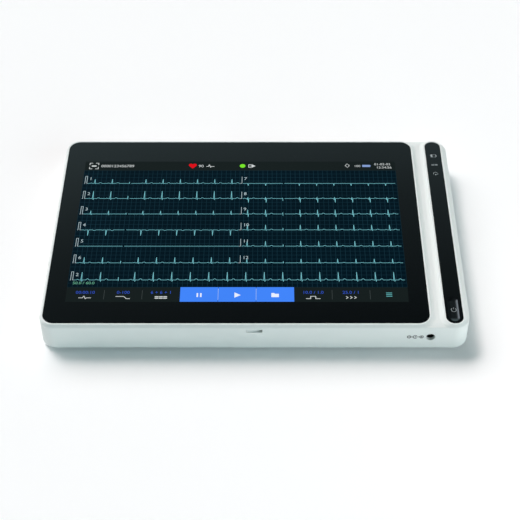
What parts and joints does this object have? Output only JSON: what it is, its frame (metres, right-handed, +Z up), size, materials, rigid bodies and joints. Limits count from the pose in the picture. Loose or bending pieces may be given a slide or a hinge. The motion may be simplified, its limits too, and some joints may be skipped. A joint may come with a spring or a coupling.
{
  "type": "portable ecg machine",
  "caption": "Flat white tablet-style ECG machine with a wide glass display, a black side strip with a power button, a front hold slider, a power socket and a patient socket.",
  "frame": {"origin": "on the ground under the middle of the case", "axes": "+X to the user's right, +Y to the back, +Z up out of the display"},
  "size_m": [0.2692, 0.1784, 0.0231],
  "materials": {
    "housing_white": "satin moulded plastic with a fine grain",
    "slider_grey": "light grey moulded plastic",
    "cover_glass_black": "polished glass, black printed back round the display",
    "strip_black": "polished black plastic",
    "button_black": "polished black plastic",
    "soft_rubber": "matte rubber",
    "seal_rubber": "matte rubber",
    "tape_black": "black foam tape",
    "film_clear": "clear film",
    "panel_dark": "dark display panel",
    "tray_white": "white moulded tray",
    "sheet_steel": "rolled sheet steel",
    "screw_steel": "zinc-plated steel",
    "insert_brass": "turned brass",
    "board_green": "green solder mask",
    "chip_black": "black moulded package",
    "connector_cream": "cream moulded plastic",
    "ribbon_amber": "amber film",
    "lead_grey": "flat grey cable",
    "switch_black": "black moulded plastic",
    "plunger_grey": "grey moulded plastic",
    "light_clear": "clear moulded plastic",
    "led_white": "clear resin",
    "socket_nickel": "nickel-plated steel",
    "insert_blue": "dark blue moulded plastic",
    "contact_gold": "gold-plated contact",
    "jack_black": "black moulded plastic",
    "cell_steel": "polished steel",
    "battery_grey": "grey wrapped pack",
    "magnet_dark": "sintered magnet",
    "cone_paper": "black pressed paper",
    "antenna_copper": "copper foil"
  },
  "bodies": {
    "case": {"top_cover": "housing_white", "bottom_housing": "housing_white", "battery_cover": "housing_white", "housing_seal": "seal_rubber", "rubber_feet": "soft_rubber", "speaker_gasket": "seal_rubber", "case_screws": "screw_steel", "bracket_screws": "screw_steel", "board_screws": "screw_steel", "battery_cover_screws": "screw_steel", "mount_inserts": "insert_brass", "cover_glass": "cover_glass_black", "glass_adhesive": "tape_black", "strip_adhesive": "tape_black", "touch_film": "film_clear", "display_panel": "panel_dark", "backlight_tray": "tray_white", "display_bracket": "sheet_steel", "side_strip": "strip_black", "power_switch_body": "switch_black", "button_board": "board_green", "indicator_board": "board_green", "hold_board": "board_green", "main_board": "board_green", "ecg_board": "board_green", "indicator_lights": "led_white", "light_pipe": "light_clear", "slide_switch_body": "switch_black", "main_chips": "chip_black", "ecg_chips": "chip_black", "main_shield": "sheet_steel", "ecg_shield": "sheet_steel", "clock_cell_holder": "switch_black", "clock_cell": "cell_steel", "power_jack_body": "jack_black", "power_jack_pin": "socket_nickel", "usb_shell": "socket_nickel", "usb_tongue": "switch_black", "patient_socket_shell": "socket_nickel", "patient_socket_insert": "insert_blue", "patient_socket_contacts": "contact_gold", "patient_socket_jackscrews": "socket_nickel", "battery_pack": "battery_grey", "battery_connector": "connector_cream", "battery_lead": "lead_grey", "board_connectors": "connector_cream", "display_ribbon": "ribbon_amber", "touch_ribbon": "ribbon_amber", "board_ribbons": "ribbon_amber", "speaker_basket": "sheet_steel", "speaker_cone": "cone_paper", "speaker_magnet": "magnet_dark", "antenna_strip": "antenna_copper"},
    "button": {"power_button": "button_black", "power_switch_plunger": "plunger_grey"},
    "slider": {"hold_slider": "slider_grey", "slide_switch_lever": "plunger_grey"}
  },
  "joints": [
    {"name": "power_button_press", "type": "slide", "parent": "case", "child": "button", "axis": [0, 0, -1], "range_m": [0, 0.0006], "stiffness_N_per_m": 300, "springref_m": -0.002},
    {"name": "hold_slide", "type": "slide", "parent": "case", "child": "slider", "axis": [1, 0, 0], "range_m": [0, 0.0022]}
  ]
}
